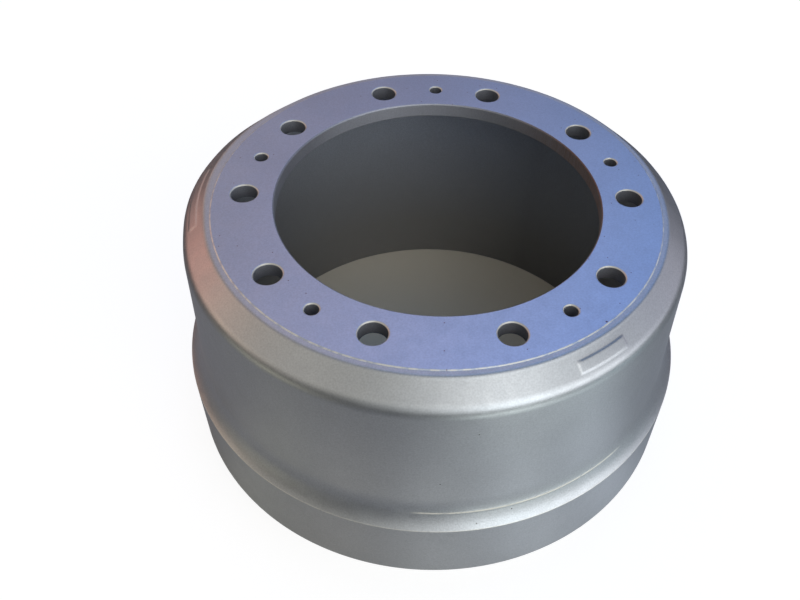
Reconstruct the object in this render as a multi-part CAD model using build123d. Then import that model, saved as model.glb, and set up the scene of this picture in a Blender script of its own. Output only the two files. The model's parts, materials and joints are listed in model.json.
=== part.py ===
from build123d import *
import os
from math import atan2, cos, radians, sin, tan

# Truck brake drum: one grey-iron casting that stands on its open end, +Z up through the
# wheel face. The origin is on the axis, at the level of the open end. Millimetres.

# Driving dimensions
HEIGHT = 254.0  # open end to wheel face
FRICTION_R = 205.0  # a 410 mm brake
PILOT_R = 141.5  # bore that centres the drum on the hub
STUD_CIRCLE_R = 167.5  # both hole patterns share one 335 mm circle
STUD_HOLE_R = 11.5
STUD_COUNT = 10
SCREW_HOLE_R = 5.75
SCREW_COUNT = 5
SCREW_START = 18.0  # degrees, midway between two stud holes
FLANGE_T = 14.0

# Machined wheel face, the as-cast band round it, and the sloping shoulder
FACE_R = 193.5
CAST_STEP = 0.8  # the band lies this much below the face
SHOULDER_R = 198.8  # where the shoulder's slope meets the level of the band
SHOULDER_RUN = 20.9
SHOULDER_DROP = 18.1
BROW_FILLET = 4.0
SHOULDER_FILLET = 16.0

# The casting swells a little on one side, under one of the pads
SWELL = 3.0
SWELL_BEARING = 162.0  # degrees
SWELL_OFFSET = 25.0  # its centre from the drum's axis; a larger one makes it narrower
SWELL_FOOT_Z = 180.0

# Waist wall, its flare, and the stiffening ring
WAIST_DRAFT = 2.15  # degrees
FLARE_Z = 110.5
FLARE_FILLET = 45.0
RING_R = 236.1
RING_TOP_Z = 97.6
RING_BOTTOM_Z = 29.8
RING_TOP_EDGE = 0.6
RING_EDGE = 1.2
COLLAR_R = 218.0
COLLAR_FILLET = 5.0

# Inside of the drum
RELIEF_R = 206.5  # as cast, clear of the brake shoes
RELIEF_Z = 216.0
ROOT_FILLET = 20.0
EDGE_BREAK = 1.0
OPEN_EDGE = 0.5

# Blank raised pads on the shoulder, where a mould's marking plates leave their outline
PAD_PROUD = 0.5
PAD_WIDTH = 10.0  # down the slope
PAD_DEPTH = 2.0  # how far the block that shapes a pad reaches into the iron
PADS = ((-61.6, 12.95), (167.9, 21.95))  # first bearing and turn, degrees

# Levels that the outside and the pads share
BAND_Z = HEIGHT - CAST_STEP
SHOULDER_Z = BAND_Z - SHOULDER_DROP


def waist_r(z):
    """Outer radius of the drafted waist at a height."""
    return SHOULDER_R + SHOULDER_RUN + (SHOULDER_Z - z) * tan(radians(WAIST_DRAFT))


def turned(corners):
    """Turns a closed half section, listed as (radius, height, corner radius)."""
    outline = FilletPolyline(
        [(r, 0, z) for r, z, _ in corners], radius=[f for _, _, f in corners], close=True
    )
    return revolve(make_face(outline), Axis.Z)


def casting():
    """The drum's outside as a solid."""
    return turned([
        (0, HEIGHT, 0),
        (FACE_R, HEIGHT, 0),
        (FACE_R + CAST_STEP, BAND_Z, 0),
        (SHOULDER_R, BAND_Z, BROW_FILLET),
        (SHOULDER_R + SHOULDER_RUN, SHOULDER_Z, SHOULDER_FILLET),
        (waist_r(FLARE_Z), FLARE_Z, FLARE_FILLET),
        (RING_R, RING_TOP_Z, RING_TOP_EDGE),
        (RING_R, RING_BOTTOM_Z, RING_EDGE),
        (COLLAR_R, RING_BOTTOM_Z, COLLAR_FILLET),
        (COLLAR_R, EDGE_BREAK, 0),
        (COLLAR_R - EDGE_BREAK, 0, 0),
        (0, 0, 0),
    ])


def swell():
    """A smaller shoulder set off the axis, so that it stands out on one side only."""
    pull = SWELL_OFFSET - SWELL
    body = turned([
        (0, BAND_Z, 0),
        (SHOULDER_R - pull, BAND_Z, BROW_FILLET),
        (SHOULDER_R + SHOULDER_RUN - pull, SHOULDER_Z, SHOULDER_FILLET),
        (waist_r(SWELL_FOOT_Z) - SWELL_OFFSET, SWELL_FOOT_Z, 0),
        (0, SWELL_FOOT_Z, 0),
    ])
    return Rot(Z=SWELL_BEARING) * Pos(X=SWELL_OFFSET) * body


def cavity():
    """The pilot bore, the hollow for the brake shoes, and the friction surface round it."""
    under_z = HEIGHT - FLANGE_T
    return turned([
        (0, HEIGHT, 0),
        (PILOT_R + EDGE_BREAK, HEIGHT, 0),
        (PILOT_R, HEIGHT - EDGE_BREAK, 0),
        (PILOT_R, under_z + EDGE_BREAK, 0),
        (PILOT_R + EDGE_BREAK, under_z, 0),
        (RELIEF_R, under_z, ROOT_FILLET),
        (RELIEF_R, RELIEF_Z + RELIEF_R - FRICTION_R, 0),
        (FRICTION_R, RELIEF_Z, 0),
        (FRICTION_R, OPEN_EDGE, 0),
        (FRICTION_R + OPEN_EDGE, 0, 0),
        (0, 0, 0),
    ])


def holes(radius, count, start):
    """Plain holes through the flange, with a broken edge at both ends."""
    middle = HEIGHT - FLANGE_T / 2
    end = Cone(radius, radius + EDGE_BREAK, EDGE_BREAK)
    cutter = (
        Cylinder(radius, FLANGE_T)
        + Pos(Z=(FLANGE_T - EDGE_BREAK) / 2) * end
        + Pos(Z=(EDGE_BREAK - FLANGE_T) / 2) * Rot(X=180) * end
    )
    circle = PolarLocations(STUD_CIRCLE_R, count, start_angle=start)
    return Pos(Z=middle) * Compound([place * cutter for place in circle])


def blank_pad(outside, first, turn):
    """The outside moved up a little, kept only in a block that stands across the slope."""
    slope = atan2(SHOULDER_DROP, SHOULDER_RUN)
    down, out = Vector(cos(slope), 0, -sin(slope)), Vector(sin(slope), 0, cos(slope))
    middle = Vector(SHOULDER_R + SHOULDER_RUN / 2, 0, BAND_Z - SHOULDER_DROP / 2)
    reach = PAD_PROUD + SWELL
    corners = ((-1, -PAD_DEPTH), (1, -PAD_DEPTH), (1, reach), (-1, reach))
    outline = [middle + down * side * PAD_WIDTH / 2 + out * up for side, up in corners]
    block = revolve(make_face(Polyline(outline, close=True)), Axis.Z, turn)
    return Rot(Z=first) * block & Pos(Z=PAD_PROUD / cos(slope)) * outside


def brake_drum():
    """The whole casting, machined."""
    plain = casting() + swell()
    outside = plain
    for first, turn in PADS:
        outside += blank_pad(plain, first, turn)
    drum = outside - cavity()
    drum -= holes(STUD_HOLE_R, STUD_COUNT, 0)
    drum -= holes(SCREW_HOLE_R, SCREW_COUNT, SCREW_START)
    return drum


os.makedirs("parts", exist_ok=True)
drum = brake_drum()
drum.label = "brake_drum"
export_step(drum, "parts/brake_drum.step")
print("volume mm3", round(drum.volume), "size", drum.bounding_box().size)
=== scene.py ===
# %% [markdown]
# # A silver-painted truck brake drum
# A brake drum is one thick bowl of grey cast iron. Studs clamp its flat flange between the
# hub and the wheel, and the brake shoes press outwards on the inside of its wall. The measured
# model is loaded first, and everything here is built in its frame, in metres, standing on the
# open end.

# %% Load the measured model
import json
from math import atan2, ceil, cos, hypot, log, pi, radians, sin, tan
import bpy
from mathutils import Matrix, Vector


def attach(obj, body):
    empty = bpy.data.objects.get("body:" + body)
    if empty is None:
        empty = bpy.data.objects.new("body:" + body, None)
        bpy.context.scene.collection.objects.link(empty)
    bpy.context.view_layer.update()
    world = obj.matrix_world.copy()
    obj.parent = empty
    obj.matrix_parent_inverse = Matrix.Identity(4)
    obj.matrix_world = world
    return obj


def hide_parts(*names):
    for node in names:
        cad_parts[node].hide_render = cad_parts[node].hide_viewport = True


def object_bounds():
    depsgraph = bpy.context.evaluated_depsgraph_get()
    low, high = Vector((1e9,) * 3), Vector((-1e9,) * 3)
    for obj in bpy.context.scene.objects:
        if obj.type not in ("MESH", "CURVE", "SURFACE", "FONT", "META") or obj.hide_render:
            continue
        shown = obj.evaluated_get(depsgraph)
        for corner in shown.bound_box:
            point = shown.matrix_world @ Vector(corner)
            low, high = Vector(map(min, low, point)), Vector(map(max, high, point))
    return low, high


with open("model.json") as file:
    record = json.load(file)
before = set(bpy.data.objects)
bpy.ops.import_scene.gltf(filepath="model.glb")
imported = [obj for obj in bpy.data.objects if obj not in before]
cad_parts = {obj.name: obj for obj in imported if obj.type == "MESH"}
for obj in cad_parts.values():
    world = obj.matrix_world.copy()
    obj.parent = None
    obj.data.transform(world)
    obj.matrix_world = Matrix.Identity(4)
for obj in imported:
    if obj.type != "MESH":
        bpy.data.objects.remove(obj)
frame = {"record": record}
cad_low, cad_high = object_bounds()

from types import SimpleNamespace

import bmesh
import bpy
from mathutils import Matrix, Vector, noise

print("measured model, mm:", [round(1000 * side, 1) for side in cad_high - cad_low])

# %% [markdown]
# ## The camera
# The camera stood close and looked down at about 46 degrees, so the near side looms and the
# far side shrinks. The hole circle is a true circle of known size, so the place of the
# camera, its turn and its focal length can be worked out from how that circle looks. The
# picture was cropped off centre, which a small lens shift repeats.

# %% Camera
CAMERA_PLACE = Vector((-0.0251, -0.5641, 0.7136))
CAMERA_TILT, CAMERA_ROLL, CAMERA_TURN = radians(43.70), radians(-2.39), radians(-1.80)
FOCAL_PIXELS, PICTURE_WIDTH = 831.0, 800
OFF_CENTRE_PIXELS = 52.5
SENSOR_MM = 36.0

camera_data = bpy.data.cameras.new("camera")
camera_data.sensor_width = SENSOR_MM
camera_data.lens = SENSOR_MM * FOCAL_PIXELS / PICTURE_WIDTH
camera_data.shift_x = -OFF_CENTRE_PIXELS / PICTURE_WIDTH
camera = bpy.data.objects.new("camera", camera_data)
camera.location = CAMERA_PLACE
camera.rotation_euler = (CAMERA_TILT, CAMERA_ROLL, CAMERA_TURN)
bpy.context.scene.collection.objects.link(camera)
bpy.context.scene.camera = camera
print("lens, mm:", round(camera_data.lens, 2), "shift:", round(camera_data.shift_x, 4))

# %% [markdown]
# ## Real sizes
# The bores and hole circles come from the record that travels with the measured model, and the
# overall size from its box. The rest are the section's own sizes in millimetres. The foundry
# leaves a skin on the shoulder and waist, while the wheel face, the bores, the ring's rim and
# the friction wall are cut on a lathe, so each stretch of the section carries its finish.

# %% Sizes of the section
MM = 0.001
mounts = {mount["name"]: mount["dims"] for mount in frame["record"]["mounts"]}
HEIGHT = round(cad_high.z / MM, 2)
RING_R = round(cad_high.x / MM, 2)
PILOT_R = mounts["pilot_bore"]["r_mm"]
FRICTION_R = mounts["friction_surface"]["r_mm"]
STUD_CIRCLE_R = mounts["wheel_studs"]["pcd_mm"] / 2
STUD_HOLE_R = mounts["wheel_studs"]["hole_r_mm"]
SCREW_HOLE_R = mounts["retaining_screws"]["hole_r_mm"]
EDGE_BREAK, OPEN_EDGE = 1.0, 0.5  # where burrs were taken off
UNDER_Z = HEIGHT - mounts["pilot_bore"]["length_mm"] - 2 * EDGE_BREAK
FACE_R, CAST_STEP = 193.5, 0.8
SHOULDER_R, SHOULDER_RUN, SHOULDER_DROP = 198.8, 20.9, 18.1
BROW_ROUND, SHOULDER_ROUND, FLARE_ROUND = 4.0, 16.0, 45.0
BAND_R, BAND_Z = FACE_R + CAST_STEP, HEIGHT - CAST_STEP
WAIST_TOP_R, WAIST_TOP_Z = SHOULDER_R + SHOULDER_RUN, BAND_Z - SHOULDER_DROP
WAIST_DRAFT = radians(2.15)
FLARE_Z, RING_TOP_Z, RING_BOTTOM_Z = 110.5, 97.6, 29.8
RING_TOP_ROUND, RING_FOOT_ROUND, COLLAR_ROUND = 0.6, 1.2, 5.0
WAIST_BOTTOM_R = WAIST_TOP_R + (WAIST_TOP_Z - FLARE_Z) * tan(WAIST_DRAFT)
COLLAR_R, RELIEF_R, RELIEF_Z, ROOT_ROUND = 218.0, 206.5, 216.0, 20.0
PAINTED_EDGE = 0.3  # paint rounds even a sharp edge
FACE, SKIN, RIM, BORE, WALL = range(5)  # the finishes, in the order of the materials
print("height", HEIGHT, "ring radius", RING_R, "waist foot", round(WAIST_BOTTOM_R, 2))

# %% [markdown]
# ## Section outlines
# A turned part is drawn as half a section. Each corner is listed once, with the radius that
# rounds it, and an arc of short chords takes its place. Long straight stretches are cut into
# cells, with one close beside each rounding so that the flat beside it stays flat when shaded.

# %% Outline helpers
CELLS = {SKIN: 4.6}  # mm; as-cast stretches need points for the waves of their skin
TRUE_CELL, HOLD = 24.0, 0.4
CHORD_TURN, CHORD_MM = radians(9), 2.8  # an arc's chords are no longer than either
TINY_ROUND = 0.5  # mm; two chords are enough below this


def arc_at(before, here, after):
    """The points that round one corner, or the corner itself where its rounding is 0."""
    corner, size = Vector(here[:2]), here[2]
    if not size or after is None:
        return [corner]
    back = (Vector(before[:2]) - corner).normalized()
    ahead = (Vector(after[:2]) - corner).normalized()
    half = back.angle(ahead) / 2
    centre = corner + (back + ahead).normalized() * size / sin(half)
    start = corner + back * size / tan(half) - centre
    sweep = (pi - 2 * half) * (1 if start.cross(corner - centre) > 0 else -1)
    chords = max(abs(sweep) / CHORD_TURN, abs(sweep) * size / CHORD_MM)
    count = 2 if size < TINY_ROUND else ceil(chords)
    return [centre + Matrix.Rotation(sweep * k / count, 2) @ start for k in range(count + 1)]


def straight(start, end, hold_start, hold_end, cell):
    """The points inside a straight stretch: cells of even length between the holding loops."""
    length = (end - start).length
    if length < 3 * HOLD:
        return []
    first, last = HOLD * hold_start, length - HOLD * hold_end
    count = ceil((last - first) / cell)
    marks = [first + (last - first) * k / count for k in range(count + 1)]
    return [start.lerp(end, m / length) for m in marks if 0 < m < length]


def outline(corners):
    """[(radius, height)] and the finish of each stretch between them, from listed corners."""
    points, finishes = [Vector(corners[0][:2])], []
    for before, here, after in zip(corners, corners[1:], corners[2:] + [None]):
        arc = arc_at(before, here, after)
        cell = CELLS.get(here[3], TRUE_CELL)
        inside = straight(points[-1], arc[0], bool(before[2]), bool(here[2]), cell)
        points += inside + arc
        finishes += [here[3]] * (len(inside) + len(arc))
    return points, finishes


rounded, _ = outline([(0, 0, 0, SKIN), (50, 0, 10, SKIN), (50, 50, 0, SKIN)])
print("points in a 50 mm corner with a 10 mm round:", len(rounded))

# %% [markdown]
# ## The mesh as a lathe would leave it
# The whole drum is one skin of quads. Its section is turned round in 320 steps, which keeps
# the rim round to a hundredth of a millimetre. Faces are collected in plain lists with their
# finish, and shared corners are welded at the end.

# %% Turning an outline
SEGMENTS = 320
corners_of, faces_of, finish_of = [], [], []


def around(radius, step, height):
    """A point on a circle round the drum's axis, at one of the lathe's steps."""
    angle = 2 * pi * step / SEGMENTS
    return Vector((radius * cos(angle), radius * sin(angle), height)) * MM


def add_face(points, finish):
    faces_of.append(range(len(corners_of), len(corners_of) + len(points)))
    corners_of.extend(points)
    finish_of.append(finish)


def turn(points, finishes, left_out=()):
    """Turns an outline round the axis, but leaves out the cells listed as (stretch, step)."""
    for stretch, (a, b) in enumerate(zip(points, points[1:])):
        for step in range(SEGMENTS):
            if (stretch, step) not in left_out:
                quad = [around(a.x, step, a.y), around(b.x, step, b.y)]
                quad += [around(b.x, step + 1, b.y), around(a.x, step + 1, a.y)]
                add_face(quad, finishes[stretch])


print("one step of the lathe on the ring, mm:", round(2 * pi * RING_R / SEGMENTS, 2))

# %% [markdown]
# ## Outer and inner section
# From the edge of the wheel face the section drops a small bevelled step to the as-cast band,
# slopes down the shoulder, runs down the drafted waist, sweeps out in one hollow flare to the
# ring and comes back under it to the collar that the drum stands on. Inside, the friction wall
# rises to the thick root of the flange. The marks on the shoulder bound the cells that hold the
# blank pads, and two close points each side of one on the flare leave room for a fine seam.

# %% Corners of the sections
FACE_MARGIN = 2.0  # of flat face that belongs to the turned sections
PAD_ROW_MM, PAD_HALF_ROWS = 3.0, 2
shoulder_top, shoulder_foot = Vector((SHOULDER_R, BAND_Z)), Vector((WAIST_TOP_R, WAIST_TOP_Z))
slope_middle = shoulder_top.lerp(shoulder_foot, 0.5)
down_slope = (shoulder_foot - shoulder_top).normalized()
tile_outer, tile_inner = FACE_R - FACE_MARGIN, PILOT_R + EDGE_BREAK + FACE_MARGIN
under_outer = RELIEF_R - ROOT_ROUND - FACE_MARGIN
pad_rows = range(-PAD_HALF_ROWS, PAD_HALF_ROWS + 1)
pad_marks = [(*slope_middle + row * PAD_ROW_MM * down_slope, 0, SKIN) for row in pad_rows]
body = [
    (tile_outer, HEIGHT, 0, FACE),
    (FACE_R, HEIGHT, PAINTED_EDGE, FACE),
    (BAND_R, BAND_Z, PAINTED_EDGE, FACE),
    (*shoulder_top, BROW_ROUND, SKIN),
    *pad_marks,
    (*shoulder_foot, SHOULDER_ROUND, SKIN),
    (WAIST_BOTTOM_R, FLARE_Z, FLARE_ROUND, SKIN),
    (RING_R, RING_TOP_Z, RING_TOP_ROUND, SKIN),
    (RING_R, RING_BOTTOM_Z, RING_FOOT_ROUND, RIM),
    (COLLAR_R, RING_BOTTOM_Z, COLLAR_ROUND, SKIN),
    (COLLAR_R, EDGE_BREAK, PAINTED_EDGE, SKIN),
    (COLLAR_R - EDGE_BREAK, 0, PAINTED_EDGE, RIM),
    (FRICTION_R + OPEN_EDGE, 0, PAINTED_EDGE / 2, RIM),
    (FRICTION_R, OPEN_EDGE, PAINTED_EDGE / 2, WALL),
    (FRICTION_R, RELIEF_Z, PAINTED_EDGE, WALL),
    (RELIEF_R, RELIEF_Z + RELIEF_R - FRICTION_R, PAINTED_EDGE, WALL),
    (RELIEF_R, UNDER_Z, ROOT_ROUND, SKIN),
    (under_outer, UNDER_Z, 0, RIM),
]
bore = [
    (tile_inner, UNDER_Z, 0, RIM),
    (PILOT_R + EDGE_BREAK, UNDER_Z, PAINTED_EDGE, RIM),
    (PILOT_R, UNDER_Z + EDGE_BREAK, PAINTED_EDGE, BORE),
    (PILOT_R, HEIGHT - EDGE_BREAK, PAINTED_EDGE, BORE),
    (PILOT_R + EDGE_BREAK, HEIGHT, PAINTED_EDGE, BORE),
    (tile_inner, HEIGHT, 0, FACE),
]
print("corners of the outside, the marks of the pads among them:", len(body))

# %% Turned sections
PADS = ((-55, 12), (149, 20))  # first lathe step and steps of each blank pad
SEAM_Z, SEAM_HALF_MM = FLARE_Z, 0.6
body_points, body_finishes = outline(body)
seam = min(
    (k for k, p in enumerate(body_points) if p.x > WAIST_TOP_R),
    key=lambda k: abs(body_points[k].y - SEAM_Z),
)
crest = body_points[seam]
beside = [crest + (body_points[seam + s] - crest).normalized() * SEAM_HALF_MM for s in (-1, 1)]
body_points[seam:seam + 1] = [beside[0], crest, beside[1]]
body_finishes[seam:seam] = [SKIN, SKIN]
first_mark = min(
    range(len(body_points)),
    key=lambda k: (body_points[k] - Vector(pad_marks[0][:2])).length,
)
pad_cells = {
    (first_mark + row, (start + column) % SEGMENTS)
    for start, steps in PADS for row in range(2 * PAD_HALF_ROWS) for column in range(steps)
}
turn(body_points, body_finishes, pad_cells)
turn(*outline(bore))
print("section points:", len(body_points), "faces so far:", len(faces_of))

# %% [markdown]
# ## The drilled flange
# Holes could be cut with a boolean, but that leaves long slivers that shade badly. The flange
# is laid out instead as twenty tiles of 18 degrees, and every hole sits in the middle of one:
# ten stud holes, five smaller holes between every second pair, and five tiles left whole.
# Rings of quads lead from each tile's border to its hole, and the hole is a short turned wall
# with both ends broken, where the drill's burr was taken off.

# %% Tiles and holes
TILES, TILE_STEPS = 20, SEGMENTS // 20
TILE_RINGS, CROWDING = 5, 1.3  # above 1, the rings lie closer together beside the hole
HOLE_FLAT = 0.8  # of face that belongs to each hole's turned wall


def tile_border(tile, low, high, height):
    """Points round a tile, anticlockwise from its inner right corner, as seen from above."""
    first = tile * TILE_STEPS - TILE_STEPS // 2
    side = [k / TILE_STEPS for k in range(TILE_STEPS)]
    radius = [low + (high - low) * t for t in side]
    border = [around(r, first, height) for r in radius]
    border += [around(high, first + t * TILE_STEPS, height) for t in side]
    border += [around(low + high - r, first + TILE_STEPS, height) for r in radius]
    border += [around(low, first + TILE_STEPS * (1 - t), height) for t in side]
    return border


def ring_of_quads(inner, outer, finish):
    for k in range(len(inner)):
        add_face([inner[k - 1], inner[k], outer[k], outer[k - 1]], finish)


def drilled_tile(tile, low, high, height, hole_r, finish):
    """Rings of quads from the tile's border in to a circle round its hole."""
    centre = around(STUD_CIRCLE_R, tile * TILE_STEPS, height)
    border = tile_border(tile, low, high, height)
    circle_r = hole_r + EDGE_BREAK + HOLE_FLAT
    circle = [centre + (p - centre).normalized() * circle_r * MM for p in border]
    rings = [
        [c.lerp(b, (k / TILE_RINGS) ** CROWDING) for c, b in zip(circle, border)]
        for k in range(TILE_RINGS + 1)
    ]
    for inner, outer in zip(rings, rings[1:]):
        ring_of_quads(inner, outer, finish)
    return circle


def whole_tile(tile, low, high, height, finish):
    first = tile * TILE_STEPS - TILE_STEPS // 2
    radius = [low + (high - low) * k / TILE_STEPS for k in range(TILE_STEPS + 1)]
    for a, b in zip(radius, radius[1:]):
        for step in range(first, first + TILE_STEPS):
            quad = [around(a, step, height), around(b, step, height)]
            quad += [around(b, step + 1, height), around(a, step + 1, height)]
            add_face(quad, finish)


print("one tile on the hole circle, mm:", round(2 * pi * STUD_CIRCLE_R / TILES, 1))


# %% Drilled flange
def hole_wall(tile, hole_r, top, bottom):
    """The turned wall of one hole, between the circles that its two tiles left."""
    section, finishes = outline([
        (hole_r + EDGE_BREAK + HOLE_FLAT, HEIGHT, 0, FACE),
        (hole_r + EDGE_BREAK, HEIGHT, PAINTED_EDGE, FACE),
        (hole_r, HEIGHT - EDGE_BREAK, PAINTED_EDGE, BORE),
        (hole_r, UNDER_Z + EDGE_BREAK, PAINTED_EDGE, BORE),
        (hole_r + EDGE_BREAK, UNDER_Z, PAINTED_EDGE, BORE),
        (hole_r + EDGE_BREAK + HOLE_FLAT, UNDER_Z, 0, RIM),
    ])
    centre = around(STUD_CIRCLE_R, tile * TILE_STEPS, 0)
    rings = []
    for k, point in enumerate(section):
        share = k / (len(section) - 1)
        directions = [a.lerp(b, share) - centre for a, b in zip(top, bottom)]
        directions = [Vector((d.x, d.y, 0)).normalized() for d in directions]
        lift = centre + Vector((0, 0, point.y * MM))
        rings.append([lift + d * point.x * MM for d in directions])
    for upper, lower, finish in zip(rings, rings[1:], finishes):
        ring_of_quads(upper, lower, finish)


for tile in range(TILES):
    if tile % 4 == 3:
        whole_tile(tile, tile_inner, tile_outer, HEIGHT, FACE)
        whole_tile(tile, tile_inner, under_outer, UNDER_Z, RIM)
        continue
    hole_r = SCREW_HOLE_R if tile % 2 else STUD_HOLE_R
    top = drilled_tile(tile, tile_inner, tile_outer, HEIGHT, hole_r, FACE)
    bottom = drilled_tile(tile, tile_inner, under_outer, UNDER_Z, hole_r, RIM)
    hole_wall(tile, hole_r, top, bottom)
print("faces with the flange:", len(faces_of))

# %% [markdown]
# ## Blank pads
# A foundry sets small marking plates into the mould, and each leaves its outline on the casting
# as a pad half a millimetre proud. The pads are left blank here. Each one fills the cells that
# the turned section left open: five loops lead in from their border, up a soft edge, and rows
# of quads close the top.

# %% Pads on the shoulder
PAD_LOOPS = (  # inset and height of each loop, mm
    (0.0, 0.0), (0.5, 0.03), (1.0, 0.13), (1.7, 0.37), (2.2, 0.47), (2.8, 0.5)
)
STEP_MM = 2 * pi * slope_middle.x / SEGMENTS
out_of_slope = Vector((-down_slope.y, down_slope.x))


def pad_spot(start, steps, across, down, inset, up):
    """A place on a pad by its step and row, drawn in towards the middle by the inset."""
    step = start + steps / 2 + (across - steps / 2) * (1 - 2 * inset / (steps * STEP_MM))
    row_mm = PAD_ROW_MM - inset / PAD_HALF_ROWS
    place = slope_middle + down_slope * down * row_mm + out_of_slope * up
    return around(place.x, step, place.y)


def blank_pad(start, steps):
    upper, lower = pad_rows[0], pad_rows[-1]
    walk = [(a, upper) for a in range(steps)] + [(steps, down) for down in pad_rows]
    walk += [(a, lower) for a in range(steps - 1, -1, -1)]
    walk += [(0, down) for down in reversed(pad_rows[1:-1])]
    loops = [[pad_spot(start, steps, *at, *level) for at in walk] for level in PAD_LOOPS]
    for inner, outer in zip(loops, loops[1:]):
        ring_of_quads(inner, outer, SKIN)
    for a in range(steps):
        for down in pad_rows[:-1]:
            square = [(a, down), (a + 1, down), (a + 1, down + 1), (a, down + 1)]
            add_face([pad_spot(start, steps, *at, *PAD_LOOPS[-1]) for at in square], SKIN)


for start, steps in PADS:
    blank_pad(start, steps)
print("blank pads:", len(PADS), "length of one step, mm:", round(STEP_MM, 2))

# %% [markdown]
# ## The casting
# The collected faces become one mesh, and shared corners are welded. Sand moulds never leave a
# true surface. On one side the shoulder swells three millimetres, and the as-cast stretches are
# moved along their normals by a few hundredths of a millimetre of slow noise, which bends the
# highlights the way iron skin does; the shoulder was dressed with a grinder on the right and
# waves more there. A fine seam of the mould shows on the flare in front. Cut surfaces stay true.

# %% Waves, swell and seam
SKIN_WAVES = ((0.035, 0.07), (0.013, 0.025))  # wavelength in metres, height in millimetres
SKIN_FADE = 2.0  # mm beside a cut edge over which the waves die away
RIM_MARGIN, RING_TOP_LIFT = 0.5, 1.0  # mm; no waves at the rim, half of them on the ring's top
WALL_MIDDLE_R, TOP_MIDDLE = 213.5, 440.0  # mm; radius, and radius plus height, inside the iron
SWELL, SWELL_FOOT_Z = 3.0, 180.0
SWELL_BEARING, SWELL_HALF = radians(162), radians(29)
GROUND_BEARING, GROUND_HALF, GROUND_WAVES = radians(8), radians(38), 2.2
SEAM_MM, SEAM_BEARING, SEAM_HALF = 0.2, radians(-71), radians(24)


def hump(place, bearing, half):
    """1 at a bearing round the axis, falling smoothly to 0 at this angle beside it."""
    turn = (atan2(place.y, place.x) - bearing + pi) % (2 * pi) - pi
    share = cos(pi / 2 * turn / half) if abs(turn) < half else 0.0
    return share * share * (3 - 2 * share)


def skin_share(r, z):
    """1 on the as-cast outside, falling to 0 at its cut edges."""
    outside = BAND_R < r < RING_R - RIM_MARGIN and z > RING_TOP_Z
    if not outside or (r < WALL_MIDDLE_R and r + z < TOP_MIDDLE):
        return 0.0
    from_cut = min(r - BAND_R, RING_R - r, z - RING_TOP_Z + RING_TOP_LIFT)
    return max(0.0, min(1.0, from_cut / SKIN_FADE))


def cast_shift(vertex):
    """How the mould's faults move a point of the outside, as a vector in millimetres."""
    place, r, z = vertex.co, hypot(vertex.co.x, vertex.co.y) / MM, vertex.co.z / MM
    share = skin_share(r, z)
    if not share:
        return Vector((0, 0, 0))
    height = sum(h * noise.noise(place / wave) for wave, h in SKIN_WAVES)
    if z > WAIST_TOP_Z:
        height *= 1 + GROUND_WAVES * hump(place, GROUND_BEARING, GROUND_HALF)
    if hypot(r - crest.x, z - crest.y) < SEAM_HALF_MM / 2:
        height += SEAM_MM * min(1.0, 2 * hump(place, SEAM_BEARING, SEAM_HALF))
    up = max(0.0, min(1.0, (z - SWELL_FOOT_Z) / (WAIST_TOP_Z - SWELL_FOOT_Z)))
    off_edge = min(1.0, (r - BAND_R) / (SHOULDER_R - BAND_R))
    out = SWELL * up * off_edge * hump(place, SWELL_BEARING, SWELL_HALF)
    return vertex.normal * share * height + Vector((place.x, place.y, 0)).normalized() * out


print("height of the skin's waves, mm:", [height for _, height in SKIN_WAVES])

# %% Build the casting
WELD_MM = 0.002
mesh = bpy.data.meshes.new("drum_casting")
shape = bmesh.new()
corners = [shape.verts.new(place) for place in corners_of]
for indices, finish in zip(faces_of, finish_of):
    face = shape.faces.new([corners[i] for i in indices])
    face.material_index = finish
    face.smooth = True
bmesh.ops.remove_doubles(shape, verts=shape.verts, dist=WELD_MM * MM)
bmesh.ops.recalc_face_normals(shape, faces=shape.faces)
shape.normal_update()
for vertex, shift in [(v, cast_shift(v)) for v in shape.verts]:
    vertex.co += shift * MM
open_edges = sum(not e.is_manifold for e in shape.edges)
shape.to_mesh(mesh)
triangles = sum(len(f.verts) - 2 for f in shape.faces)
shape.free()
casting = bpy.data.objects.new("drum_casting", mesh)
bpy.context.scene.collection.objects.link(casting)
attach(casting, "root")
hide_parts("brake_drum")
print("casting triangles:", triangles, "open edges:", open_edges)

# %% [markdown]
# ## Colours and nodes
# Paint colours are given as sRGB hex and turned to linear light by one function, and one small
# function adds any node with its settings and links. Two more only collect inputs: a pattern's
# scale is always given as the real size of one grain, in millimetres, and a value is often
# mapped from one range to another and held at its ends.


# %% Colour and node helpers
def linear(hex_colour):
    """Linear RGBA of an sRGB hex colour."""
    channels = [int(hex_colour[k:k + 2], 16) / 255 for k in (1, 3, 5)]
    light = [c / 12.92 if c <= 0.04045 else ((c + 0.055) / 1.055) ** 2.4 for c in channels]
    return (*light, 1.0)


def add(tree, kind, inputs=None, output=0, **settings):
    """Adds a node and gives one of its outputs; an input takes a value or such an output."""
    node = tree.nodes.new("ShaderNode" + kind)
    for name, value in settings.items():
        setattr(node, name, value)
    for name, value in (inputs or {}).items():
        if isinstance(value, bpy.types.NodeSocket):
            tree.links.new(value, node.inputs[name])
        else:
            node.inputs[name].default_value = value
    return node.outputs[output] if len(node.outputs) else None


def grains(size_mm, detail=0.0):
    """Inputs of a noise whose lumps have this real size."""
    return {"Scale": 1 / (size_mm * MM), "Detail": detail}


def ends(low, high, to_low, to_high):
    """Inputs that map low..high to to_low..to_high; a Map Range node holds it there outside."""
    return {"From Min": low, "From Max": high, "To Min": to_low, "To Max": to_high}


print("middle grey in linear light:", [round(c, 3) for c in linear("#808080")])

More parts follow.
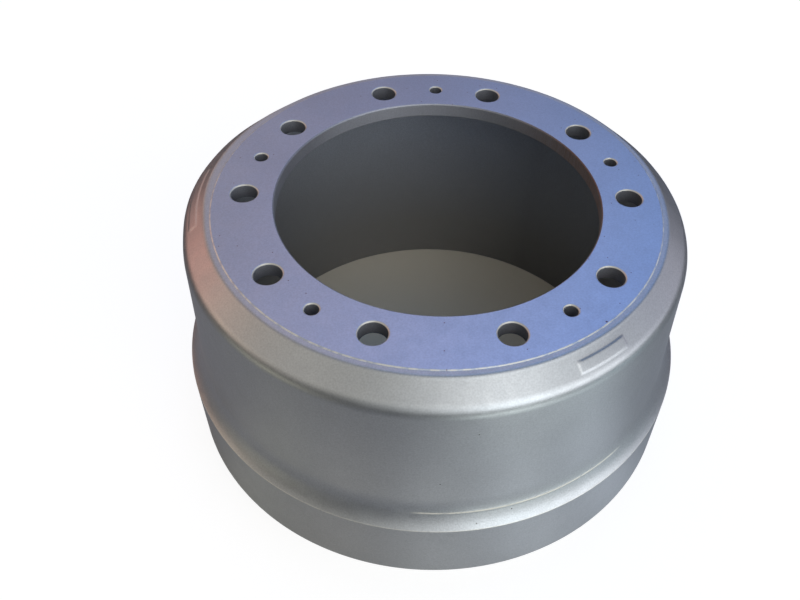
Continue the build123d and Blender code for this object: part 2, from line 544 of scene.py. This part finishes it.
# %% [markdown]
# ## Silver enamel
# The drum is sprayed with aluminium enamel: flakes of aluminium, some 0.03 mm across, that lie
# flat in a clear binder. They give a metal's colour with a wide satin lobe, and a fine sparkle
# because no two flakes lie quite alike. The gun's passes leave cloudy patches a hand wide. Real
# flakes are too small to draw from here, so the sparkle is drawn as clusters of about 1.3 mm.

# %% Enamel shared by the five finishes
FLAKE_MM, CLOUD_MM = 1.3, 70.0
METAL_SHARE = 0.9  # of aluminium flake; the rest is binder and, where it is thin, dull iron
NOISE_RANGE, FLAKE_RANGE = (0.3, 0.7), (0.2, 0.8)  # where nearly all values of a noise lie
GLOSS_MM, GLOSS_STEP = 9.0, 0.03  # patches that differ a little in roughness


def enamel(name, colour, roughness, cloud=0.08, sparkle=0.16, metal=METAL_SHARE):
    """A silver enamel with clouds and sparkle; later steps can still change its colour."""
    material = bpy.data.materials.new(name)
    material.use_nodes = True
    casting.data.materials.append(material)
    tree = material.node_tree
    shader = tree.nodes["Principled BSDF"]
    shader.inputs["Metallic"].default_value = metal
    place = add(tree, "TexCoord", output="Object")
    clouds = add(tree, "TexNoise", {"Vector": place, **grains(CLOUD_MM, 2.0)})
    flakes = add(tree, "TexNoise", {"Vector": place, **grains(FLAKE_MM)})
    cloudy = {"Value": clouds, **ends(*NOISE_RANGE, 1 - cloud / 2, 1 + cloud / 2)}
    sparkly = {"Value": flakes, **ends(*FLAKE_RANGE, 1 - sparkle / 2, 1 + sparkle / 2)}
    both = {0: add(tree, "MapRange", cloudy), 1: add(tree, "MapRange", sparkly)}
    bright = add(tree, "Math", both, operation="MULTIPLY")
    tone = {0: linear(colour)[:3], "Scale": bright}
    tree.links.new(add(tree, "VectorMath", tone, operation="SCALE"), shader.inputs["Base Color"])
    patches = add(tree, "TexNoise", {"Vector": place, **grains(GLOSS_MM, 2.0)})
    gloss = ends(*NOISE_RANGE, roughness - GLOSS_STEP, roughness + GLOSS_STEP)
    tree.links.new(add(tree, "MapRange", {"Value": patches, **gloss}), shader.inputs["Roughness"])
    return tree, shader


def spots(tree):
    """Where a point of the drum is: its place, radius, height and bearing, and the skin laid flat."""
    place = add(tree, "TexCoord", output="Object")
    parts = add(tree, "SeparateXYZ", {"Vector": place}).node.outputs
    level = add(tree, "CombineXYZ", {"X": parts["X"], "Y": parts["Y"]})
    radius = add(tree, "VectorMath", {0: level}, output="Value", operation="LENGTH")
    bearing = add(tree, "Math", {0: parts["Y"], 1: parts["X"]}, operation="ARCTAN2")
    length = add(tree, "Math", {0: bearing, 1: WAIST_TOP_R * MM}, operation="MULTIPLY")
    laid = add(tree, "CombineXYZ", {"X": length, "Y": parts["Z"]})
    return SimpleNamespace(
        place=place, radius=radius, height=parts["Z"], bearing=bearing, laid=laid
    )


print("sparkle and clouds, mm:", FLAKE_MM, CLOUD_MM)

# %% [markdown]
# A finish is the enamel and a few steps that change it from place to place: grain pressed into
# the surface, another colour laid over it, colour painted lighter or darker as painted light and
# shade, pale painted highlights drawn as primer rubbed through, and specks. Each step works on a
# share, which is 1 where the step applies in full and 0 where it does not.

# %% Steps of a finish
MIX_BELOW, MIX_ABOVE, MIX_RESULT = 6, 7, 2  # the colour sockets of a Mix node
# The pale primer colour paints the highlights of sharp edges and the seam, drawn as enamel rubbed
# through.
PRIMER_HIGHLIGHT, PRIMER_HIGHLIGHT_METAL = "#E6E2D6", 0.3
SPECK_CORE, SPECK_EDGE = 0.3, 0.6  # of a speck's size: solid inside, gone outside


def where_all(tree, *shares):
    """The share of a surface where all of these shares meet, which is their product."""
    product = shares[0]
    for share in shares[1:]:
        product = add(tree, "Math", {0: product, 1: share}, operation="MULTIPLY")
    return product


def facing(tree, at, bearing):
    """1 on the drum's side at this bearing, 0 a quarter turn away."""
    aim = {0: at.place, 1: (cos(bearing), sin(bearing), 0)}
    across = add(tree, "VectorMath", aim, output="Value", operation="DOT_PRODUCT")
    return add(tree, "Math", {0: across, 1: at.radius}, operation="DIVIDE")


def press_grain(tree, shader, along, size_mm, depth_mm, detail=2.0, share=None, lines=False):
    """Presses grain of a real size, or lines, into the surface, on top of any relief there."""
    where = {"W" if lines else "Vector": along, **grains(size_mm, detail)}
    height = add(tree, "TexNoise", where, noise_dimensions="1D" if lines else "3D")
    if share is not None:
        height = where_all(tree, share, height)
    pressed = {"Height": height, "Strength": 1.0, "Distance": depth_mm * MM}
    for link in shader.inputs["Normal"].links:
        pressed["Normal"] = link.from_socket
    tree.links.new(add(tree, "Bump", pressed), shader.inputs["Normal"])


def paint_over(tree, shader, share, colour):
    """Covers the paint with another colour."""
    paint_now = shader.inputs["Base Color"].links[0].from_socket
    layers = {"Factor": share, MIX_BELOW: paint_now, MIX_ABOVE: linear(colour)}
    mixed = add(tree, "Mix", layers, output=MIX_RESULT, data_type="RGBA")
    tree.links.new(mixed, shader.inputs["Base Color"])


def scale_paint(tree, shader, factor):
    """Scales the paint's colour by a factor that varies over the surface."""
    paint_now = shader.inputs["Base Color"].links[0].from_socket
    scaled = add(tree, "VectorMath", {0: paint_now, "Scale": factor}, operation="SCALE")
    tree.links.new(scaled, shader.inputs["Base Color"])


def paint_pale_highlight(tree, shader, share):
    """Paints pale, hardly metallic primer over the enamel: a painted highlight on a sharp line, drawn
    as enamel rubbed through.
    """
    paint_over(tree, shader, share, PRIMER_HIGHLIGHT)
    metal = {"Value": share, **ends(0.0, 1.0, METAL_SHARE, PRIMER_HIGHLIGHT_METAL)}
    tree.links.new(add(tree, "MapRange", metal), shader.inputs["Metallic"])


def specks(tree, shader, laid, cell_mm, size_mm, chance, colour):
    """Scattered dark specks: one place in each cell, filled in this share of the cells."""
    grid = {"Vector": laid, "Scale": 1 / (cell_mm * MM), "Randomness": 1.0}
    cells = add(tree, "TexVoronoi", grid, voronoi_dimensions="2D").node.outputs
    ratio = size_mm / cell_mm
    near = {"Value": cells["Distance"], **ends(SPECK_CORE * ratio, SPECK_EDGE * ratio, 1.0, 0.0)}
    lot = add(tree, "SeparateColor", {"Color": cells["Color"]}, output="Red")
    filled = {"Value": lot, **ends(chance - 0.01, chance + 0.01, 1.0, 0.0)}
    share = where_all(tree, add(tree, "MapRange", near), add(tree, "MapRange", filled))
    paint_over(tree, shader, share, colour)


print("specks are solid over", SPECK_CORE, "of their size and gone at", SPECK_EDGE)

# %% [markdown]
# ## The five finishes
# The wheel face was faced on a lathe before painting. Its feed marks are rings a quarter of a
# millimetre apart, drawn here at 1.1 mm, and the enamel fills all but a few thousandths of
# them. Handling has left a few rust-brown specks. A broken pale line is painted round the sharp
# edge of the face: a painted highlight, drawn as enamel rubbed through to dusty primer. The enamel
# is the same all over, but the colour of every finish except the skin's was fitted together with
# the light, because the light alone didn't reach the real tones, so those colours carry painted
# light. The face's colour is painted bluer: a painted reflection of blue sky.

# %% Turned face
# The blue of this colour is a painted reflection of blue sky.
tree, shader = enamel("silver_enamel_turned_face", "#AAB6C9", roughness=0.36, sparkle=0.13)
at = spots(tree)
press_grain(tree, shader, at.radius, size_mm=1.1, depth_mm=0.003, detail=1.0, lines=True)
press_grain(tree, shader, at.place, size_mm=1.6, depth_mm=0.005)
specks(tree, shader, at.place, cell_mm=15.0, size_mm=1.1, chance=0.16, colour="#7A6673")
specks(tree, shader, at.place, cell_mm=41.0, size_mm=1.9, chance=0.15, colour="#65505C")
# A broken pale line round the face's edge: a painted highlight, drawn as primer rubbed through.
at_edge = {"Value": at.radius, **ends((FACE_R - 0.4) * MM, (FACE_R + 0.1) * MM, 0.0, 1.0)}
patchy = add(tree, "TexNoise", {"Vector": at.place, **grains(6.0, 3.0)})
broken = {"Value": patchy, **ends(0.4, 0.55, 0.25, 0.85)}
pale_edge_highlight = where_all(tree, add(tree, "MapRange", at_edge), add(tree, "MapRange", broken))
paint_pale_highlight(tree, shader, pale_edge_highlight)
print(len(tree.nodes), "nodes on the face")

# %% [markdown]
# The shoulder, waist and flare keep the skin of the sand mould. Sand grains of 0.3 to 0.5 mm
# leave a pebbled surface, and enamel flows over it like orange peel with lumps of a few
# millimetres. That breaks up every highlight, which is what makes it read as iron, not steel.
# In the hollow of the flare the spray lands dry, so it is coarser and sparkles more there. The
# narrow band round the face keeps the roughest and dullest skin, because no tool has touched it.

# %% As-cast skin
tree, shader = enamel("silver_enamel_cast_skin", "#BCBEC0", roughness=0.36, cloud=0.1)
at = spots(tree)
press_grain(tree, shader, at.place, size_mm=5.0, depth_mm=0.02, detail=1.0)
press_grain(tree, shader, at.place, size_mm=1.4, depth_mm=0.012)
hollow = {"Value": at.height, **ends((RING_TOP_Z + 7) * MM, (RING_TOP_Z + 15) * MM, 1.0, 0.0)}
dry = add(tree, "MapRange", hollow)
press_grain(tree, shader, at.place, size_mm=1.5, depth_mm=0.09, detail=1.0, share=dry)
on_band = {"Value": at.height, **ends((BAND_Z - 2.0) * MM, (BAND_Z - 0.6) * MM, 0.0, 1.0)}
band = add(tree, "MapRange", on_band)
press_grain(tree, shader, at.place, size_mm=1.6, depth_mm=0.12, share=band)
specks(tree, shader, at.laid, cell_mm=29.0, size_mm=1.2, chance=0.1, colour="#5C5856")
duller = add(tree, "MapRange", {"Value": band, **ends(0.0, 1.0, 0.0, 0.12)})
rough = {0: shader.inputs["Roughness"].links[0].from_socket, 1: duller}
tree.links.new(add(tree, "Math", rough, operation="ADD"), shader.inputs["Roughness"])
print(len(tree.nodes), "nodes on the skin so far")

# %% [markdown]
# Two sharp lines of the skin get a pale line as well, in broken lengths: the fine seam that the
# mould left on the flare, and the upper edge of the ring. Both are painted highlights, drawn as
# enamel rubbed through to primer.

# %% Seam and ring edge, with painted highlights
SEAM_LINE, SEAM_SOFT = 0.4, 0.9  # mm above and below the seam: painted pale line, and plain enamel again
above = (crest.y + SEAM_LINE) * MM, (crest.y + SEAM_SOFT) * MM
below = (crest.y - SEAM_SOFT) * MM, (crest.y - SEAM_LINE) * MM
seam_end = cos(SEAM_HALF)
beside_seam = facing(tree, at, SEAM_BEARING)
seam_ranges = (
    {"Value": at.height, **ends(*above, 1.0, 0.0)},
    {"Value": at.height, **ends(*below, 0.0, 1.0)},
    {"Value": beside_seam, **ends(seam_end - 0.01, seam_end + 0.01, 0.0, 1.0)},
)
edge_ranges = (
    {"Value": at.radius, **ends((RING_R - 0.7) * MM, (RING_R - 0.2) * MM, 0.0, 0.5)},
    {"Value": at.height, **ends((RING_TOP_Z - 2) * MM, (RING_TOP_Z - 1) * MM, 0.0, 1.0)},
)
patchy = add(tree, "TexNoise", {"Vector": at.place, **grains(5.0, 3.0)})
broken = add(tree, "MapRange", {"Value": patchy, **ends(0.3, 0.45, 0.35, 0.95)})
on_seam = where_all(tree, *(add(tree, "MapRange", inputs) for inputs in seam_ranges), broken)
on_edge = where_all(tree, *(add(tree, "MapRange", inputs) for inputs in edge_ranges), broken)
# The pale lines on the seam and on the ring's edge are painted highlights.
paint_pale_highlight(tree, shader, add(tree, "Math", {0: on_seam, 1: on_edge}, operation="MAXIMUM"))
print(len(tree.nodes), "nodes on the skin")

# %% [markdown]
# The ring's rim, the foot and the underside of the flange are turned too, with fine lines that
# run round the drum.

# %% Turned rim
tree, shader = enamel("silver_enamel_turned_rim", "#B1B3B6", roughness=0.38)
at = spots(tree)
press_grain(tree, shader, at.height, size_mm=1.2, depth_mm=0.006, detail=1.0, lines=True)
press_grain(tree, shader, at.place, size_mm=1.5, depth_mm=0.015)
print(len(tree.nodes), "nodes on the rim")

# %% [markdown]
# Spray hardly reaches into the pilot bore and the holes. The paint is thin and dull there, and
# slanting marks of the boring tool show through. On the bore's right side the paint is so thin
# that the iron has begun to rust, most of all along the sharp edge, where paint never holds.

# %% Bored walls
DULL_METAL, RUST_METAL = 0.5, 0.2
STROKE_MM, STROKE_SLANT, STROKE_STRETCH = 2.0, radians(55), 0.12
tree, shader = enamel("silver_enamel_bored_wall", "#8E8F95", roughness=0.46, metal=DULL_METAL)
at = spots(tree)
bore_only = {"Value": at.radius, **ends((PILOT_R + 2) * MM, (PILOT_R + 4) * MM, 1.0, 0.0)}
in_bore = add(tree, "MapRange", bore_only)
slanted = {"Rotation": (0, 0, STROKE_SLANT), "Scale": (1.0, STROKE_STRETCH, 1.0)}
slant = add(tree, "Mapping", {"Vector": at.laid, **slanted})
strokes = add(tree, "TexNoise", {"Vector": slant, **grains(STROKE_MM, 2.0)})
front_end = add(tree, "MapRange", {"Value": at.bearing, **ends(-0.9, 0.0, 0.0, 1.0)})
back_end = add(tree, "MapRange", {"Value": at.bearing, **ends(0.5, 1.1, 1.0, 0.0)})
streaks = add(tree, "MapRange", {"Value": strokes, **ends(0.35, 0.65, 0.35, 0.8)})
sharp_edge = {"Value": at.height, **ends((HEIGHT - 2.0) * MM, (HEIGHT - 1.0) * MM, 0.0, 1.0)}
most = {0: streaks, 1: add(tree, "MapRange", sharp_edge)}
bloom = add(tree, "Math", most, operation="MAXIMUM")
rust = where_all(tree, front_end, back_end, in_bore, bloom)
paint_over(tree, shader, rust, "#6E5A50")
metal = {"Value": rust, **ends(0.0, 1.0, DULL_METAL, RUST_METAL)}
tree.links.new(add(tree, "MapRange", metal), shader.inputs["Metallic"])
print(len(tree.nodes), "nodes on the bored walls so far")

# %% [markdown]
# The bore's wall at the back is painted up to twice as light, where the light falls on it: painted
# light. The bore and holes on the drum's right side are painted a little darker, and in every hole
# the wall on the right is painted darker still: painted shade. The broken edge round each hole is
# painted pale, a painted highlight drawn as primer rubbed through.

# %% Painted light and shade in the bore and holes
LIT_BEARING, SHADED_BEARING = radians(108), radians(25)
HOLE_SHADE = 0.62  # of the full colour, on the right wall of each hole: painted shade
# Painted light on the back of the bore, and painted shade on the drum's right side and on each hole's
# right wall.
back_painted_light = {"Value": facing(tree, at, LIT_BEARING), **ends(0.78, 1.0, 0.0, 0.6)}
light_at_back = where_all(tree, add(tree, "MapRange", back_painted_light), in_bore)
scale_paint(tree, shader, add(tree, "MapRange", {"Value": light_at_back, **ends(0.0, 1.0, 1.0, 2.0)}))
right_painted_shade = {"Value": facing(tree, at, SHADED_BEARING), **ends(0.7, 1.0, 1.0, 0.85)}
scale_paint(tree, shader, add(tree, "MapRange", right_painted_shade))
outward = add(tree, "NewGeometry", output="Normal")
faces_right = add(tree, "SeparateXYZ", {"Vector": outward}, output="X")
hole_painted_shade = add(tree, "MapRange", {"Value": faces_right, **ends(-0.9, 0.1, HOLE_SHADE, 1.0)})
scale_paint(tree, shader, add(tree, "Math", {0: hole_painted_shade, 1: in_bore}, operation="MAXIMUM"))
# A pale line round each hole's top edge: a painted highlight, drawn as primer rubbed through.
top_break = {"Value": at.height, **ends((HEIGHT - 1.1) * MM, (HEIGHT - 0.9) * MM, 0.0, 0.75)}
in_hole = add(tree, "MapRange", {"Value": in_bore, **ends(0.0, 1.0, 1.0, 0.0)})
paint_over(tree, shader, where_all(tree, add(tree, "MapRange", top_break), in_hole), PRIMER_HIGHLIGHT)
press_grain(tree, shader, slant, size_mm=STROKE_MM, depth_mm=0.02)
press_grain(tree, shader, at.place, size_mm=1.6, depth_mm=0.03)
print(len(tree.nodes), "nodes on the bored walls")

# %% [markdown]
# The friction wall was bored to size and only dusted with paint through the open ends, so it
# is duller. Its colour is a little darker and bluer than the skin's. Low down it turns a warmer
# grey, a painted reflection of the floor, and towards the back its colour is painted lighter, as
# painted light.

# %% Friction wall
tree, shader = enamel("silver_enamel_friction_wall", "#B3B7BF", roughness=0.44, metal=0.7)
at = spots(tree)
# Warmer grey below 0.18 m: a painted reflection of the floor.
low_down = add(tree, "MapRange", {"Value": at.height, **ends(0.05, 0.18, 1.0, 0.0)})
paint_over(tree, shader, low_down, "#B3B0AA")
# The colour is painted lighter towards the back, where the light falls: painted light.
painted_far_light = {"Value": facing(tree, at, radians(110)), **ends(0.6, 1.0, 0.75, 1.3)}
scale_paint(tree, shader, add(tree, "MapRange", painted_far_light))
press_grain(tree, shader, at.height, size_mm=1.3, depth_mm=0.008, detail=1.0, lines=True)
press_grain(tree, shader, at.place, size_mm=1.5, depth_mm=0.02)
print("finishes:", [m.name for m in casting.data.materials])

# %% [markdown]
# ## Soft light
# Metal paint shows what stands round it, so its light is a whole tent of surroundings: blue
# and pale light behind and above, bright and nearly white light in front and to the right, and
# a warm red glow behind on the left. Each is one wide soft source: a direction, the angle at
# which it has faded to half, a colour and a strength. What stood round the real drum isn't
# known. The colours and strengths were fitted together, by least squares, until the paint had
# the tones that the real drum shows from the camera's side. So the names are only guesses, and
# the light from behind is made up. What the camera sees past the floor is plain.

# %% Tent of light
SKY = (  # name, azimuth from +X, elevation, half-fade angle, colour, strength
    ("low right", 0, 5, 17, "#EBEEFF", 0.76),
    ("low behind right", 30, 5, 17, "#F6F1FF", 0.68),
    ("open sky behind right", 45, 52, 18, "#008FFF", 0.67),
    ("open sky above", 60, 70, 18, "#72C3FF", 0.83),
    ("sky behind right", 70, 42, 12, "#82CAFF", 0.59),
    ("pale haze behind", 90, 52, 18, "#FFD0D1", 0.72),
    ("haze behind left", 120, 20, 14, "#FFEBDE", 0.46),
    ("haze above left", 150, 48, 33, "#FFFBF7", 0.29),
    ("red wall behind left", 150, 5, 17, "#FFB4A0", 1.13),
    ("low window left", 180, 10, 12, "#FFE8CD", 0.96),
    ("window front left", 210, 28, 17, "#FFFAEF", 0.66),
    ("ceiling front left", 240, 40, 14, "#FFFBF0", 0.42),
    ("ceiling front", 270, 40, 14, "#FDFFFC", 0.51),
    ("ceiling high front right", 300, 50, 14, "#FFFCF9", 0.77),
    ("fill front right", 300, 8, 33, "#FBFEFF", 1.24),
    ("low window front right", 300, 15, 10, "#E0F6FF", 1.04),
    ("window front right", 300, 28, 17, "#F7FCFF", 0.91),
    ("low window right", 330, 5, 17, "#F6FAFF", 1.9),
)

world = bpy.data.worlds.new("tent_of_light")
bpy.context.scene.world = world
world.use_nodes = True
tree = world.node_tree
tree.nodes.clear()
toward = add(tree, "TexCoord", output="Generated")
whole = None
for name, azimuth, elevation, fade, colour, strength in SKY:
    flat, up = radians(azimuth), radians(elevation)
    aim = {0: toward, 1: (cos(up) * cos(flat), cos(up) * sin(flat), sin(up))}
    along = add(tree, "VectorMath", aim, output="Value", operation="DOT_PRODUCT", label=name)
    lit = add(tree, "Math", {0: along, 1: 0.0}, operation="MAXIMUM")
    power = log(0.5) / log(cos(radians(fade)))
    lobe = add(tree, "Math", {0: lit, 1: power}, operation="POWER")
    glow = {0: [strength * c for c in linear(colour)[:3]], "Scale": lobe}
    light = add(tree, "VectorMath", glow, operation="SCALE")
    if whole is None:
        whole = light
    else:
        whole = add(tree, "VectorMath", {0: whole, 1: light}, operation="ADD")
tent = add(tree, "Background", {"Color": whole})
plain = add(tree, "Background", {"Color": linear("#F4F4F4"), "Strength": 1.0})
seen = add(tree, "LightPath", output="Is Camera Ray")
mixed = add(tree, "MixShader", {0: seen, 1: tent, 2: plain})
add(tree, "OutputWorld", {"Surface": mixed})
print("soft sources:", len(SKY))

# %% [markdown]
# ## Floor
# The floor is plain and pale to the camera, but the waist is metal and mirrors the ground, and
# a white floor all round would wash it out. So the paint's reflections meet a mid-grey floor
# that darkens outwards, with a few soft patches of light on it, brightest in front and to the
# right, and only the camera sees the pale one. The patches were fitted along with the tent.

# %% Floor that the paint mirrors
PATCHES = (  # name, distance from the axis in metres, azimuth, radius in metres, colour, strength
    ("close in front", 0.29, -90, 0.07, "#FDFFFC", 0.32),
    ("close front right", 0.29, -65, 0.07, "#F3FAFF", 0.54),
    ("close right", 0.29, -40, 0.07, "#ECF5FF", 0.46),
    ("close front left", 0.29, -115, 0.07, "#FFF8E8", 0.19),
    ("close left", 0.29, -140, 0.07, "#FFFFE7", 0.17),
    ("right", 0.55, -40, 0.14, "#EDFCFF", 0.79),
    ("far front right", 0.75, -65, 0.22, "#F4FFFC", 2.08),
    ("far left", 1.0, -150, 0.3, "#FFFADC", 0.88),
    ("far right", 1.0, -25, 0.3, "#D2F3FF", 0.71),
)
NEAR_FAR = 0.35, 0.8  # metres from the axis between which the mirrored ground darkens
NEAR_FAR_GREY = 0.4, 0.08
FLOOR_HALF = 6.0  # metres

floor_mesh = bpy.data.meshes.new("floor")
floor_corners = [(x * FLOOR_HALF, y * FLOOR_HALF, 0) for x, y in ((-1, -1), (1, -1), (1, 1), (-1, 1))]
floor_mesh.from_pydata(floor_corners, [], [(0, 1, 2, 3)])
floor = bpy.data.objects.new("floor", floor_mesh)
bpy.context.scene.collection.objects.link(floor)
ground = bpy.data.materials.new("pale_floor")
ground.use_nodes = True
floor.data.materials.append(ground)
tree = ground.node_tree
tree.nodes.clear()
spot = add(tree, "NewGeometry", output="Position")
glow = None
for name, distance, azimuth, size, colour, strength in PATCHES:
    centre = (distance * cos(radians(azimuth)), distance * sin(radians(azimuth)), 0)
    away = add(tree, "VectorMath", {0: spot, 1: centre}, output="Value", operation="DISTANCE")
    near = add(tree, "Math", {0: away, 1: size}, operation="DIVIDE", label=name)
    fall = add(tree, "Math", {0: 0.0, 1: where_all(tree, near, near)}, operation="SUBTRACT")
    soft = add(tree, "Math", {0: fall}, operation="EXPONENT")
    shine = {0: [strength * c for c in linear(colour)[:3]], "Scale": soft}
    patch = add(tree, "VectorMath", shine, operation="SCALE")
    glow = patch if glow is None else add(tree, "VectorMath", {0: glow, 1: patch}, operation="ADD")
patches = add(tree, "Emission", {"Color": glow})
from_axis = add(tree, "VectorMath", {0: spot}, output="Value", operation="LENGTH")
ground_tone = add(tree, "MapRange", {"Value": from_axis, **ends(*NEAR_FAR, *NEAR_FAR_GREY)})
grey = add(tree, "BsdfDiffuse", {"Color": ground_tone})
mirrored = add(tree, "AddShader", {0: patches, 1: grey})
print("patches of light:", len(PATCHES))

# %% Floor that the camera sees
FLOOR_GREY, FLOOR_DUST = "#949494", "#F1EADA"  # round the drum, and inside it
FLOOR_LIFT = 0.85  # light added round the drum, so that its shadow stays soft on white
under_drum = {"Value": from_axis, **ends(FRICTION_R * MM, COLLAR_R * MM, 1.0, 0.0)}
inside = add(tree, "MapRange", under_drum)
tones = {"Factor": inside, MIX_BELOW: linear(FLOOR_GREY), MIX_ABOVE: linear(FLOOR_DUST)}
pale = {"Color": add(tree, "Mix", tones, output=MIX_RESULT, data_type="RGBA")}
lift = add(tree, "MapRange", {"Value": inside, **ends(0.0, 1.0, FLOOR_LIFT, 0.0)})
white = add(tree, "Emission", {"Color": linear("#FFFFFF"), "Strength": lift})
visible = add(tree, "AddShader", {0: add(tree, "BsdfDiffuse", pale), 1: white})
seen = add(tree, "LightPath", output="Is Camera Ray")
mixed = add(tree, "MixShader", {0: seen, 1: mirrored, 2: visible})
add(tree, "OutputMaterial", {"Surface": mixed})
bpy.context.scene.view_settings.view_transform = "Standard"
print(len(tree.nodes), "nodes on the floor")
